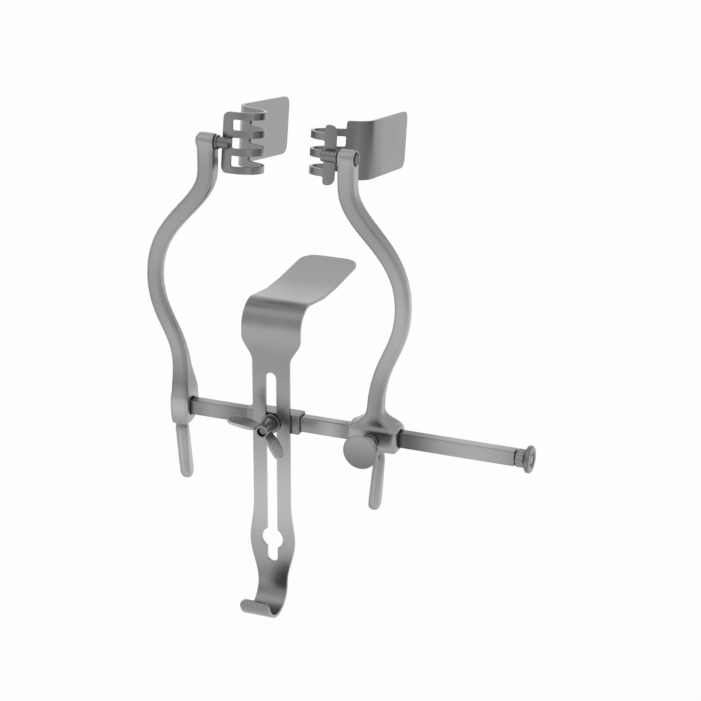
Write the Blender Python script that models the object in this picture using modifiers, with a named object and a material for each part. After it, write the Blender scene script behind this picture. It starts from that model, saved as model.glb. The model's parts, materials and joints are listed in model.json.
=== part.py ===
"""Self-retaining bladder retractor: slotted centre blade and two swivelling side blades.

Frame: X runs along the axis of the cross bar, Y points away from the surgeon into the wound,
Z up along the arms. The origin lies on the flat outer end of the left foot. Sizes in metres.
"""

import math
from collections import namedtuple

import bmesh
import bpy
from mathutils import Matrix, Vector

# Running and seating clearances
SEAT_GAP = 0.0003
RUNNING_GAP = 0.0003

# Cross bar
BAR_LENGTH = 0.1845
BAR_HEIGHT = 0.0080
BAR_DEPTH = 0.0060
BAR_EDGE = 0.0006
BAR_STUB_RADIUS = 0.0025
BAR_STUB_LENGTH = 0.0080
BAR_STUB_EDGE = 0.0005

# End stop on the threaded stub of the bar
COLLAR_RADIUS = 0.0049
COLLAR_LENGTH = 0.0050
COLLAR_EDGE = 0.0007
COLLAR_LOBES = 8
COLLAR_LOBE_DEPTH = 0.0007
CAP_RADIUS = 0.0070
CAP_LENGTH = 0.0027
CAP_EDGE = 0.0006
CAP_DISH_RADIUS = 0.0046
CAP_DISH_FLOOR = 0.0029
CAP_DISH_DEPTH = 0.0011

# Arms, mirrored for the two sides; "outward" is away from the centre blade
LEFT_PIVOT_HEIGHT = 0.1445
RIGHT_PIVOT_HEIGHT = 0.1439
ARM_WIDTH = 0.0080
ARM_DEPTH = 0.0061
ARM_HEAD_WIDTH = 0.0089
ARM_HEAD_DEPTH = 0.0086
ARM_HEAD_LENGTH = 0.0145
ARM_EDGE = 0.0011
LEFT_ARM_BOW = 0.0147
RIGHT_ARM_BOW = 0.0135
ARM_INSET = 0.0162
ARM_NECK_TOP = 0.0150
ARM_BOW_HEIGHT = 0.0700
ARM_NECK_PULL = 0.0270
ARM_LOWER_PULL = 0.0240
ARM_UPPER_PULL = 0.0320
ARM_HEAD_PULL = 0.0200
ARM_ROOT_FRONT = 0.0068
ARM_FRONT_TOP = 0.0350
LEFT_ROOT_BACK = 0.0084
LEFT_ROOT_TOP = 0.0225
LEFT_FLARE_TOP = 0.0450
LEFT_FLARE_STEP = 0.0003
RIGHT_ROOT_BACK = 0.0065
RIGHT_ROOT_TOP = 0.0130
RIGHT_FLARE_TOP = 0.0150
KNUCKLE_RADIUS = 0.0045
KNUCKLE_WIDTH = 0.0095
KNUCKLE_EDGE = 0.0004

# Finger tail under each arm
TAIL_LENGTH = 0.0372
TAIL_ROOT_DEPTH = 0.0044
TAIL_PAD_DEPTH = 0.0076
TAIL_THICKNESS = 0.0052
TAIL_TIP_THICKNESS = 0.0036
TAIL_EDGE = 0.0011
TAIL_ROOT_SHIFT = 0.0024
TAIL_TIP_SHIFT = -0.0009

# Foot that joins the left arm to the bar, and slide box of the right arm
FOOT_WIDTH = 0.0104
FOOT_FRONT = 0.0074
FOOT_BACK = 0.0080
FOOT_TOP = 0.0072
FOOT_BOTTOM = 0.0100
FOOT_EDGE = 0.0010
FOOT_WALL = 0.0020
SLIDE_LENGTH = 0.0268
SLIDE_FRONT = 0.0080
SLIDE_BACK = 0.0072
SLIDE_TOP = 0.0062
SLIDE_BOTTOM = 0.0064
SLIDE_EDGE = 0.0008
SLIDE_FLARE = 0.0128
HUB_CROWN = 1.22
RIGHT_ARM_X = 0.11275

# Thumb screw of the right arm
KNOB_RADIUS = 0.0091
KNOB_THICKNESS = 0.0028
KNOB_EDGE = 0.0005
KNOB_STANDOFF = 0.0156
KNOB_NECK_RADIUS = 0.0041
KNOB_WAIST_RADIUS = 0.0030
SCREW_RADIUS = 0.0025
SCREW_EDGE = 0.0003
CLAMP_PAD_THICKNESS = 0.0012
CLAMP_PAD_EDGE = 0.0002

# Carriage that slides on the bar and holds the centre blade
CARRIAGE_X = 0.0574
CARRIAGE_LENGTH = 0.0294
CARRIAGE_WALL = 0.0009
CARRIAGE_FACE_WALL = 0.0014
CARRIAGE_EDGE = 0.0006
STUD_RADIUS = 0.0024
STUD_EDGE = 0.0004
STUD_TIP = 0.0015
WASHER_RADIUS = 0.0052
WASHER_THICKNESS = 0.0009
NUT_LENGTH = 0.0110
NUT_BASE_RADIUS = 0.0052
NUT_TOP_RADIUS = 0.0043
NUT_EDGE = 0.0005
NUT_SKIRT = 0.0015
WING_REACH = 0.0172
WING_THICKNESS = 0.0026
WING_TIP_THICKNESS = 0.0016
WING_HEIGHT = 0.0100
WING_ROOT_LIFT = 0.0066
WING_LIFT = 0.0126
WING_CURVE = 0.75
WING_TIP_START = 0.70
WING_ANGLE = 149.0

# Centre blade, one strip bent from sheet
SHEET = 0.0016
STEM_HALF_WIDTH = 0.0102
BLADE_HALF_WIDTH = 0.0161
BLADE_SHOULDER = 0.0465
BLADE_FLARE = 0.0130
BLADE_BEND_START = 0.0505
BLADE_BEND_RADIUS = 0.0120
BLADE_BEND_ANGLE = 102.0
BLADE_SADDLE_RADIUS = 0.1250
BLADE_SADDLE_ANGLE = 16.0
BLADE_TIP_LENGTH = 0.0350
BLADE_CORNER = 0.0085
HOOK_BEND_START = 0.0905
HOOK_BEND_RADIUS = 0.0125
HOOK_BEND_ANGLE = 178.0
HOOK_HALF_WIDTH = 0.0081
HOOK_ROUND = 0.0038
BULGE_HALF_WIDTH = 0.0124
BULGE_DEPTH = 0.0672
BULGE_TAPER = 0.0220
SLOT_HALF_WIDTH = 0.0030
SLOT_TOP = 0.0280
KEYHOLE_RADIUS = 0.0060
KEYHOLE_DEPTH = 0.0656
SLOT_BOTTOM = 0.0792

# Side blades, bent from sheet: spine, open U turn, outward bend, flat blade
SIDE_SHEET = 0.0015
LEFT_BLADE_HEIGHT = 0.0308
RIGHT_BLADE_HEIGHT = 0.0297
LEFT_SPINE = 0.0050
RIGHT_SPINE = 0.0058
SIDE_SPINE_TILT = 12.0
LEFT_SIDE_LEAD = 0.0012
RIGHT_SIDE_LEAD = 0.0
LEFT_TURN_RADIUS = 0.0108
RIGHT_TURN_RADIUS = 0.0102
SIDE_TURN_END = 29.0
SIDE_LINK = 0.0112
SIDE_BEND_RADIUS = 0.0130
SIDE_BLADE_HEADING = 92.0
SIDE_BLADE_LENGTH = 0.0535
SIDE_CORNER = 0.0050
SIDE_SPINE_CORNER = 0.0034
SIDE_NOTCH_CORNER = 0.0014
SIDE_DROOP = 9.4
RIGHT_BAR_PITCH = 0.0089
SIDE_BAR_HEIGHT = 0.0037
SIDE_OPENING_LEG = 0.0081
SIDE_WINDOW_CORNER = 0.0009

# Pivots of the side blades
PIVOT_JOURNAL_RADIUS = 0.0024
PIVOT_PIN_RADIUS = 0.0029
PIVOT_PIN_FLAT = 0.0025
PIVOT_SHOULDER_RADIUS = 0.0036
PIVOT_SHOULDER_LENGTH = 0.0011
LEFT_PIVOT_REACH = 0.0070
RIGHT_PIVOT_REACH = 0.0090
PIVOT_RECESS_DEPTH = 0.0027
PIVOT_RECESS_RADIUS = 0.0034
PIVOT_SCREW_RADIUS = 0.0012
PIVOT_SCREW_DEPTH = 0.0035
PIVOT_HEAD_LENGTH = 0.0016
PIVOT_WASHER_THICKNESS = 0.0007
PIVOT_SLOT_WIDTH = 0.0007
PIVOT_SLOT_DEPTH = 0.0006
PIVOT_EDGE = 0.0003

# Values that follow from the sizes above
LEFT_ARM_X = FOOT_WIDTH / 2
BAR_START = FOOT_WALL + SEAT_GAP
BAR_END = BAR_START + BAR_LENGTH
BAR_FACE_Y = -BAR_DEPTH / 2
CARRIAGE_FACE_Y = BAR_FACE_Y - RUNNING_GAP - CARRIAGE_FACE_WALL
STEM_Y = CARRIAGE_FACE_Y - SEAT_GAP - SHEET / 2
WASHER_Y = STEM_Y - SHEET / 2 - SEAT_GAP
NUT_Y = WASHER_Y - WASHER_THICKNESS - SEAT_GAP

Arm = namedtuple("Arm", "name x side bow pivot_height hub_top root_half root_back flare_top back_top")
LEFT_ARM = Arm("left_arm", LEFT_ARM_X, -1, LEFT_ARM_BOW, LEFT_PIVOT_HEIGHT, FOOT_TOP,
               FOOT_WIDTH / 2 - LEFT_FLARE_STEP, LEFT_ROOT_BACK, LEFT_FLARE_TOP, LEFT_ROOT_TOP)
RIGHT_ARM = Arm("right_arm", RIGHT_ARM_X, 1, RIGHT_ARM_BOW, RIGHT_PIVOT_HEIGHT, SLIDE_TOP,
                SLIDE_FLARE, RIGHT_ROOT_BACK, RIGHT_FLARE_TOP, RIGHT_ROOT_TOP)
Head = namedtuple("Head", "label arm bars pitch height spine turn_radius lead pin_reach")
LEFT_HEAD = Head("left", LEFT_ARM, 4, (LEFT_BLADE_HEIGHT - SIDE_BAR_HEIGHT) / 3, LEFT_BLADE_HEIGHT,
                 LEFT_SPINE, LEFT_TURN_RADIUS, LEFT_SIDE_LEAD, LEFT_PIVOT_REACH)
RIGHT_HEAD = Head("right", RIGHT_ARM, 3, RIGHT_BAR_PITCH, RIGHT_BLADE_HEIGHT,
                  RIGHT_SPINE, RIGHT_TURN_RADIUS, RIGHT_SIDE_LEAD, RIGHT_PIVOT_REACH)

STEEL = (0.50, 0.50, 0.50)
ROUND_STEPS = 32
KNOB_STEPS = 48


def clear_scene():
    for item in list(bpy.data.objects):
        bpy.data.objects.remove(item, do_unlink=True)


def new_collection(name):
    collection = bpy.data.collections.new(name)
    bpy.context.scene.collection.children.link(collection)
    return collection


def steel(name):
    material = bpy.data.materials.new(name)
    material.use_nodes = True
    shader = material.node_tree.nodes["Principled BSDF"]
    shader.inputs["Base Color"].default_value = (*STEEL, 1.0)
    shader.inputs["Metallic"].default_value = 1.0
    shader.inputs["Roughness"].default_value = 0.35
    return material


def mesh_object(name, build, collection):
    """Object whose mesh is filled by a function that receives a bmesh."""
    mesh = bpy.data.meshes.new(name)
    work = bmesh.new()
    build(work)
    bmesh.ops.recalc_face_normals(work, faces=work.faces)
    if work.calc_volume(signed=True) < 0:
        bmesh.ops.reverse_faces(work, faces=work.faces)
    work.to_mesh(mesh)
    work.free()
    item = bpy.data.objects.new(name, mesh)
    collection.objects.link(item)
    return item


def evaluated_mesh(item):
    bpy.context.view_layer.update()
    graph = bpy.context.evaluated_depsgraph_get()
    return bpy.data.meshes.new_from_object(item.evaluated_get(graph))


def freeze(item):
    """Replace an object's mesh by its evaluated mesh and drop the modifiers."""
    mesh = evaluated_mesh(item)
    item.modifiers.clear()
    item.data = mesh
    return item


def box(name, collection, low, high):
    """Box between two opposite corners, with its origin at its centre."""
    low, high = Vector(low), Vector(high)

    def build(work):
        bmesh.ops.create_cube(work, size=1.0)
        bmesh.ops.scale(work, vec=high - low, verts=work.verts)

    item = mesh_object(name, build, collection)
    item.location = (low + high) / 2
    return item


def bevel(item, width, segments=2):
    modifier = item.modifiers.new("Bevel", "BEVEL")
    modifier.width = width
    modifier.segments = segments
    modifier.limit_method = "ANGLE"
    modifier.angle_limit = math.radians(40)
    return item


def boolean(item, other, operation):
    modifier = item.modifiers.new(operation.title(), "BOOLEAN")
    modifier.operation = operation
    modifier.solver = "EXACT"
    modifier.object = other
    return item


def turned(name, collection, profile, location, axis, steps=ROUND_STEPS):
    """Turned body: profile rows are (radius, distance along the axis), far end first."""
    mesh = bpy.data.meshes.new(name)
    points = [(radius, 0.0, along) for radius, along in profile]
    edges = [(index, index + 1) for index in range(len(points) - 1)]
    mesh.from_pydata(points, edges, [])
    item = bpy.data.objects.new(name, mesh)
    collection.objects.link(item)
    screw = item.modifiers.new("Screw", "SCREW")
    screw.steps = steps
    screw.render_steps = steps
    screw.use_merge_vertices = True
    screw.merge_threshold = 0.00001
    screw.use_normal_calculate = False
    item.location = location
    item.rotation_euler = Vector((0, 0, 1)).rotation_difference(Vector(axis)).to_euler()
    return item


def rod(name, collection, radius, length, location, axis, chamfer=0.0, steps=ROUND_STEPS):
    """Plain round rod that starts at location and runs along axis."""
    wall = [(radius, length), (radius, 0.0)]
    if chamfer:
        wall = [(radius - chamfer, length), (radius, length - chamfer), (radius, chamfer),
                (radius - chamfer, 0.0)]
    return turned(name, collection, [(0.0, length)] + wall + [(0.0, 0.0)], location, axis, steps)


def ring(name, collection, inner, outer, length, location, axis, steps=ROUND_STEPS):
    """Flat ring that starts at location and runs along axis."""
    profile = [(inner, 0.0), (inner, length), (outer, length), (outer, 0.0), (inner, 0.0)]
    return turned(name, collection, profile, location, axis, steps)


def ease(value):
    """Smooth step from 0 to 1 with level ends."""
    value = min(max(value, 0.0), 1.0)
    return value * value * (3 - 2 * value)


def smooth_row(rows, position):
    """Value read from (position, value) rows, eased from each row to the next."""
    if position <= rows[0][0]:
        return rows[0][1]
    for (start, first), (end, second) in zip(rows, rows[1:]):
        if position <= end:
            return first + (second - first) * ease((position - start) / (end - start))
    return rows[-1][1]


def bezier(points, count):
    """Points of a cubic curve in the plane."""
    result = []
    for index in range(count):
        t = index / (count - 1)
        weights = ((1 - t) ** 3, 3 * t * (1 - t) ** 2, 3 * t * t * (1 - t), t ** 3)
        result.append(tuple(sum(w * p[k] for w, p in zip(weights, points)) for k in (0, 1)))
    return result


def rounded_section(half_width, front, back, edge):
    """Rectangle with cut corners as (across, depth) pairs."""
    edge = min(edge, half_width * 0.7, (back - front) * 0.35)
    part = edge * (1 - math.sqrt(0.5))
    corner = ((edge, 0.0), (part, part), (0.0, edge))
    ends = ((-1, front, 1), (1, front, 1), (1, back, -1), (-1, back, -1))
    section = []
    for number, (side, depth, inward) in enumerate(ends):
        steps = corner if number % 2 else tuple(reversed(corner))
        for across, along in steps:
            section.append((side * (half_width - across), depth + inward * along))
    return section


def loft(name, collection, rings):
    """Closed body through rings that all have the same number of points."""

    def build(work):
        rows = [[work.verts.new(point) for point in ring] for ring in rings]
        count = len(rows[0])
        for lower, upper in zip(rows, rows[1:]):
            for index in range(count):
                after = (index + 1) % count
                work.faces.new((lower[index], lower[after], upper[after], upper[index]))
        work.faces.new(rows[0])
        work.faces.new(rows[-1])

    return mesh_object(name, build, collection)


def arm_offset_line(arm):
    """Centre line of an arm from the bar up to the pivot, as (outward offset, height)."""
    neck_steps = 8
    bow = arm.bow
    head_start = arm.pivot_height - ARM_HEAD_LENGTH
    lower = bezier([(0.0, ARM_NECK_TOP), (0.0, ARM_NECK_TOP + ARM_NECK_PULL),
                    (bow, ARM_BOW_HEIGHT - ARM_LOWER_PULL), (bow, ARM_BOW_HEIGHT)], 12)
    upper = bezier([(bow, ARM_BOW_HEIGHT), (bow, ARM_BOW_HEIGHT + ARM_UPPER_PULL),
                    (-ARM_INSET, head_start - ARM_HEAD_PULL), (-ARM_INSET, head_start)], 14)
    neck = [(0.0, ARM_NECK_TOP * index / neck_steps) for index in range(neck_steps)]
    return neck + lower + upper[1:] + [(-ARM_INSET, arm.pivot_height)]


def arm_body(arm, collection):
    """Bowed arm as a loft of rounded sections, thick at the root on its hub."""
    line = arm_offset_line(arm)
    head_start = arm.pivot_height - ARM_HEAD_LENGTH
    half_rows = [(ARM_BOW_HEIGHT, ARM_WIDTH / 2), (head_start, ARM_HEAD_WIDTH / 2)]
    body_rows = [(ARM_BOW_HEIGHT, ARM_DEPTH / 2), (head_start, ARM_HEAD_DEPTH / 2)]
    front_rows = [(arm.hub_top, ARM_ROOT_FRONT), (ARM_FRONT_TOP, ARM_DEPTH / 2)] + body_rows
    back_rows = [(arm.hub_top, arm.root_back), (arm.back_top, ARM_DEPTH / 2)] + body_rows
    rings = []
    for index, (offset, height) in enumerate(line):
        before = line[max(index - 1, 0)]
        after = line[min(index + 1, len(line) - 1)]
        run = Vector((after[0] - before[0], after[1] - before[1])).normalized()
        across = Vector((run.y, -run.x))
        share = min(max((height - arm.hub_top) / (arm.flare_top - arm.hub_top), 0.0), 1.0)
        flare = (arm.root_half - ARM_WIDTH / 2) * (1 - share) ** 2
        half = smooth_row(half_rows, height) + flare
        front = -smooth_row(front_rows, height)
        back = smooth_row(back_rows, height)
        ring_points = []
        for step, along in rounded_section(half, front, back, ARM_EDGE):
            x = arm.x + arm.side * (offset + step * across.x)
            ring_points.append((x, along, height + step * across.y))
        rings.append(ring_points)
    return loft(arm.name, collection, rings)


def tail_body(name, collection, arm, top):
    """Finger tail: a paddle with its flats facing sideways and a round lower end."""
    straight_steps, tip_steps, tip_turn = 8, 7, 80
    straight = TAIL_LENGTH - TAIL_PAD_DEPTH / 2
    levels = [(straight * index / straight_steps, 0.0) for index in range(straight_steps)]
    levels += [(straight, math.radians(tip_turn * index / tip_steps))
               for index in range(tip_steps + 1)]
    rings = []
    for distance, angle in levels:
        widen = ease(distance / straight)
        half_depth = (TAIL_ROOT_DEPTH + (TAIL_PAD_DEPTH - TAIL_ROOT_DEPTH) * widen) / 2
        below = distance + half_depth * math.sin(angle)
        half = (TAIL_TIP_THICKNESS + (TAIL_THICKNESS - TAIL_TIP_THICKNESS) * math.cos(angle)) / 2
        shift = TAIL_ROOT_SHIFT + (TAIL_TIP_SHIFT - TAIL_ROOT_SHIFT) * below / TAIL_LENGTH
        reach = half_depth * math.cos(angle)
        rings.append([(arm.x + arm.side * (shift + x), y, top - below)
                      for x, y in rounded_section(half, -reach, reach, TAIL_EDGE)])
    return loft(name, collection, rings)


def hub_profile(front, back, top, bottom):
    """Side view of the foot or slide box: flat front, round lens-shaped back."""
    steps = 10
    points = [(-front, bottom), (-front, top), (0.0, top * HUB_CROWN)]
    for index in range(1, steps):
        angle = math.radians(90 - 180 * index / steps)
        reach = top * HUB_CROWN if angle > 0 else -bottom
        points.append((back * math.cos(angle), reach * math.sin(angle)))
    points.append((0.0, bottom))
    return points


def hub(name, collection, centre_x, width, front, back, top, bottom, edge):
    """Foot or slide box: the side view drawn out along the bar."""
    profile = hub_profile(front, back, top, -bottom)

    def build(work):
        first = [work.verts.new((centre_x - width / 2, y, z)) for y, z in profile]
        face = work.faces.new(first)
        grown = bmesh.ops.extrude_face_region(work, geom=[face])
        moved = [part for part in grown["geom"] if isinstance(part, bmesh.types.BMVert)]
        bmesh.ops.translate(work, vec=(width, 0, 0), verts=moved)

    return bevel(mesh_object(name, build, collection), edge)


def bar_cutter(name, guides, start, end):
    """Passage for the bar, wider than it by the running gap."""
    y_gap = BAR_DEPTH / 2 + RUNNING_GAP
    z_gap = BAR_HEIGHT / 2 + RUNNING_GAP
    return box(name, guides, (start, -y_gap, -z_gap), (end, y_gap, z_gap))


def hide_cutter(item):
    item.hide_render = True
    item.display_type = "WIRE"


def make_cross_bar(parts, guides):
    bar = box("cross_bar", parts, (BAR_START, BAR_FACE_Y, -BAR_HEIGHT / 2),
              (BAR_END, -BAR_FACE_Y, BAR_HEIGHT / 2))
    bevel(bar, BAR_EDGE)
    overlap = 0.002
    stub = rod("bar_stub", guides, BAR_STUB_RADIUS, BAR_STUB_LENGTH + overlap,
               (BAR_END - overlap, 0.0, 0.0), (1, 0, 0), BAR_STUB_EDGE)
    boolean(bar, stub, "UNION")
    return bar


def make_end_stop(parts):
    """Lobed collar and dished cap, both screwed on the stub of the bar."""
    start = BAR_END + SEAT_GAP
    bore = BAR_STUB_RADIUS + SEAT_GAP

    def collar_mesh(work):
        steps = COLLAR_LOBES * 6
        outside = ((0.0, COLLAR_EDGE), (COLLAR_EDGE, 0.0), (COLLAR_LENGTH - COLLAR_EDGE, 0.0),
                   (COLLAR_LENGTH, COLLAR_EDGE))
        rows = []
        for along, shrink in outside:
            radii = []
            for index in range(steps):
                wave = abs(math.cos(math.pi * COLLAR_LOBES * index / steps))
                radii.append(COLLAR_RADIUS - COLLAR_LOBE_DEPTH * (1 - wave) - shrink)
            rows.append((along, radii))
        rows += [(COLLAR_LENGTH, [bore] * steps), (0.0, [bore] * steps)]
        loop = []
        for along, radii in rows:
            turns = [2 * math.pi * index / steps for index in range(steps)]
            loop.append([work.verts.new((along, radius * math.cos(turn), radius * math.sin(turn)))
                         for radius, turn in zip(radii, turns)])
        for first, second in zip(loop, loop[1:] + loop[:1]):
            for index in range(steps):
                after = (index + 1) % steps
                work.faces.new((first[index], first[after], second[after], second[index]))

    collar = mesh_object("end_stop_collar", collar_mesh, parts)
    collar.location = (start, 0.0, 0.0)
    floor = CAP_LENGTH - CAP_DISH_DEPTH
    dish = [(bore, floor), (CAP_DISH_FLOOR, floor), (CAP_DISH_RADIUS, CAP_LENGTH),
            (CAP_RADIUS - CAP_EDGE, CAP_LENGTH), (CAP_RADIUS, CAP_LENGTH - CAP_EDGE),
            (CAP_RADIUS, CAP_EDGE), (CAP_RADIUS - CAP_EDGE, 0.0), (bore, 0.0), (bore, floor)]
    cap = turned("end_stop_cap", parts, dish, (start + COLLAR_LENGTH + SEAT_GAP, 0.0, 0.0),
                 (1, 0, 0))
    return [collar, cap]


def pivot_centre(arm):
    """Middle of the arm head on the pivot line."""
    return Vector((arm.x - arm.side * ARM_INSET, 0.0, arm.pivot_height))


def add_knuckle(item, guides, arm):
    """Round knuckle at the top of an arm, bored for the pivot and recessed for its screw."""
    centre = pivot_centre(arm)
    outward = Vector((arm.side, 0, 0))
    knuckle = rod(arm.name + "_knuckle", guides, KNUCKLE_RADIUS, KNUCKLE_WIDTH,
                  centre - outward * KNUCKLE_WIDTH / 2, outward, KNUCKLE_EDGE)
    boolean(item, knuckle, "UNION")
    bore = PIVOT_JOURNAL_RADIUS + RUNNING_GAP
    start = KNUCKLE_WIDTH
    floor = start + KNUCKLE_WIDTH / 2 - PIVOT_RECESS_DEPTH
    profile = [(0.0, start * 2), (PIVOT_RECESS_RADIUS, start * 2), (PIVOT_RECESS_RADIUS, floor),
               (bore, floor), (bore, 0.0), (0.0, 0.0)]
    passage = turned(arm.name + "_pivot_passage", guides, profile, centre - outward * start, outward)
    boolean(item, passage, "DIFFERENCE")


def make_left_arm(parts, guides):
    item = arm_body(LEFT_ARM, parts)
    foot = hub("left_foot", guides, LEFT_ARM_X, FOOT_WIDTH, FOOT_FRONT, FOOT_BACK,
               FOOT_TOP, FOOT_BOTTOM, FOOT_EDGE)
    tail = tail_body("left_tail", guides, LEFT_ARM, -BAR_HEIGHT / 2 - SEAT_GAP * 2)
    socket = bar_cutter("left_socket", guides, FOOT_WALL, FOOT_WIDTH * 2)
    boolean(item, foot, "UNION")
    boolean(item, tail, "UNION")
    boolean(item, socket, "DIFFERENCE")
    add_knuckle(item, guides, LEFT_ARM)
    return item


def make_right_arm(parts, guides):
    item = arm_body(RIGHT_ARM, parts)
    slide = hub("right_slide", guides, RIGHT_ARM_X, SLIDE_LENGTH, SLIDE_FRONT, SLIDE_BACK,
                SLIDE_TOP, SLIDE_BOTTOM, SLIDE_EDGE)
    tail = tail_body("right_tail", guides, RIGHT_ARM, -BAR_HEIGHT / 2 - SEAT_GAP * 2)
    passage = bar_cutter("right_passage", guides, RIGHT_ARM_X - SLIDE_LENGTH,
                         RIGHT_ARM_X + SLIDE_LENGTH)
    hole = rod("thumb_hole", guides, SCREW_RADIUS + RUNNING_GAP, SLIDE_FRONT * 2,
               (RIGHT_ARM_X, 0.0, 0.0), (0, -1, 0))
    boolean(item, slide, "UNION")
    boolean(item, tail, "UNION")
    boolean(item, passage, "DIFFERENCE")
    boolean(item, hole, "DIFFERENCE")
    add_knuckle(item, guides, RIGHT_ARM)
    return item


def make_thumb_screw(parts):
    """Disc head on a neck, its screw, and the loose pad that presses on the bar."""
    pad = rod("clamp_pad", parts, SCREW_RADIUS, CLAMP_PAD_THICKNESS,
              (RIGHT_ARM_X, BAR_FACE_Y - SEAT_GAP, 0.0), (0, -1, 0), CLAMP_PAD_EDGE)
    neck_y = -SLIDE_FRONT - SEAT_GAP
    disc_back = KNOB_STANDOFF - KNOB_THICKNESS
    bore = SCREW_RADIUS + SEAT_GAP
    bore_end = disc_back / 2
    profile = [(0.0, KNOB_STANDOFF), (KNOB_RADIUS - KNOB_EDGE, KNOB_STANDOFF),
               (KNOB_RADIUS, KNOB_STANDOFF - KNOB_EDGE), (KNOB_RADIUS, disc_back + KNOB_EDGE),
               (KNOB_RADIUS - KNOB_EDGE, disc_back), (KNOB_WAIST_RADIUS, disc_back),
               (KNOB_WAIST_RADIUS, disc_back * 0.6), (KNOB_NECK_RADIUS, disc_back * 0.35),
               (KNOB_NECK_RADIUS, 0.0), (bore, 0.0), (bore, bore_end), (0.0, bore_end)]
    knob = turned("thumb_knob", parts, profile, (RIGHT_ARM_X, neck_y, 0.0), (0, -1, 0),
                  KNOB_STEPS)
    screw_start = BAR_FACE_Y - SEAT_GAP * 2 - CLAMP_PAD_THICKNESS
    screw_end = neck_y - bore_end + SEAT_GAP
    screw = rod("thumb_screw", parts, SCREW_RADIUS, screw_start - screw_end,
                (RIGHT_ARM_X, screw_start, 0.0), (0, -1, 0), SCREW_EDGE)
    return [pad, knob, screw]


def make_carriage(parts, guides):
    """Sleeve round the bar, with the stud that passes through the slot of the blade."""
    half = CARRIAGE_LENGTH / 2
    rear = BAR_DEPTH / 2 + RUNNING_GAP + CARRIAGE_WALL
    top = BAR_HEIGHT / 2 + RUNNING_GAP + CARRIAGE_WALL
    sleeve = box("blade_carriage", parts, (CARRIAGE_X - half, CARRIAGE_FACE_Y, -top),
                 (CARRIAGE_X + half, rear, top))
    bevel(sleeve, CARRIAGE_EDGE)
    boolean(sleeve, bar_cutter("carriage_passage", guides, CARRIAGE_X - CARRIAGE_LENGTH,
                               CARRIAGE_X + CARRIAGE_LENGTH), "DIFFERENCE")
    hole = rod("stud_hole", guides, STUD_RADIUS + SEAT_GAP, BAR_DEPTH * 2,
               (CARRIAGE_X, 0.0, 0.0), (0, -1, 0))
    boolean(sleeve, hole, "DIFFERENCE")
    stud_start = BAR_FACE_Y - RUNNING_GAP
    stud_end = NUT_Y - NUT_LENGTH + STUD_TIP
    stud = rod("carriage_stud", parts, STUD_RADIUS, stud_start - stud_end,
               (CARRIAGE_X, stud_start, 0.0), (0, -1, 0), STUD_EDGE)
    washer = ring("clamp_washer", parts, STUD_RADIUS + SEAT_GAP, WASHER_RADIUS, WASHER_THICKNESS,
                  (CARRIAGE_X, WASHER_Y, 0.0), (0, -1, 0))
    return [sleeve, stud, washer]


def make_wing_nut(parts, guides):
    """Hub with two leaf-shaped wings that lean forward, on the stud."""
    bore = STUD_RADIUS + SEAT_GAP
    profile = [(bore, 0.0), (bore, NUT_LENGTH), (NUT_TOP_RADIUS - NUT_EDGE, NUT_LENGTH),
               (NUT_TOP_RADIUS, NUT_LENGTH - NUT_EDGE), (NUT_BASE_RADIUS, NUT_SKIRT),
               (NUT_BASE_RADIUS, NUT_EDGE), (NUT_BASE_RADIUS - NUT_EDGE, 0.0), (bore, 0.0)]
    nut = turned("wing_nut", parts, profile, (CARRIAGE_X, NUT_Y, 0.0), (0, -1, 0))
    leaf = [(0.0, 0.72), (0.45, 1.0), (WING_TIP_START, 0.96)]
    root = bore + NUT_EDGE
    leaf_steps, tip_steps, tip_turn = 7, 6, 78
    levels = [(WING_TIP_START * index / leaf_steps, 1.0) for index in range(leaf_steps)]
    for index in range(tip_steps + 1):
        angle = math.radians(tip_turn * index / tip_steps)
        levels.append((WING_TIP_START + (1 - WING_TIP_START) * math.sin(angle), math.cos(angle)))
    for number, turn in enumerate((WING_ANGLE, WING_ANGLE + 180)):
        rings = []
        for t, narrow in levels:
            reach = root + (WING_REACH - root) * t
            half = WING_HEIGHT / 2 * smooth_row(leaf, t) * narrow
            thick = (WING_THICKNESS + (WING_TIP_THICKNESS - WING_THICKNESS) * t) / 2
            lift = WING_ROOT_LIFT + WING_LIFT * t ** WING_CURVE
            row = []
            for across, along in rounded_section(half, -thick, thick, thick):
                row.append((reach, along, lift + across))
            rings.append(row)
        wing = loft("wing_%d" % number, guides, rings)
        spin = Matrix.Rotation(math.radians(-turn), 4, "Y")
        stand = Matrix.Rotation(math.radians(90), 4, "X")
        wing.matrix_world = Matrix.Translation((CARRIAGE_X, NUT_Y, 0.0)) @ spin @ stand
        boolean(nut, wing, "UNION")
    return nut


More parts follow.
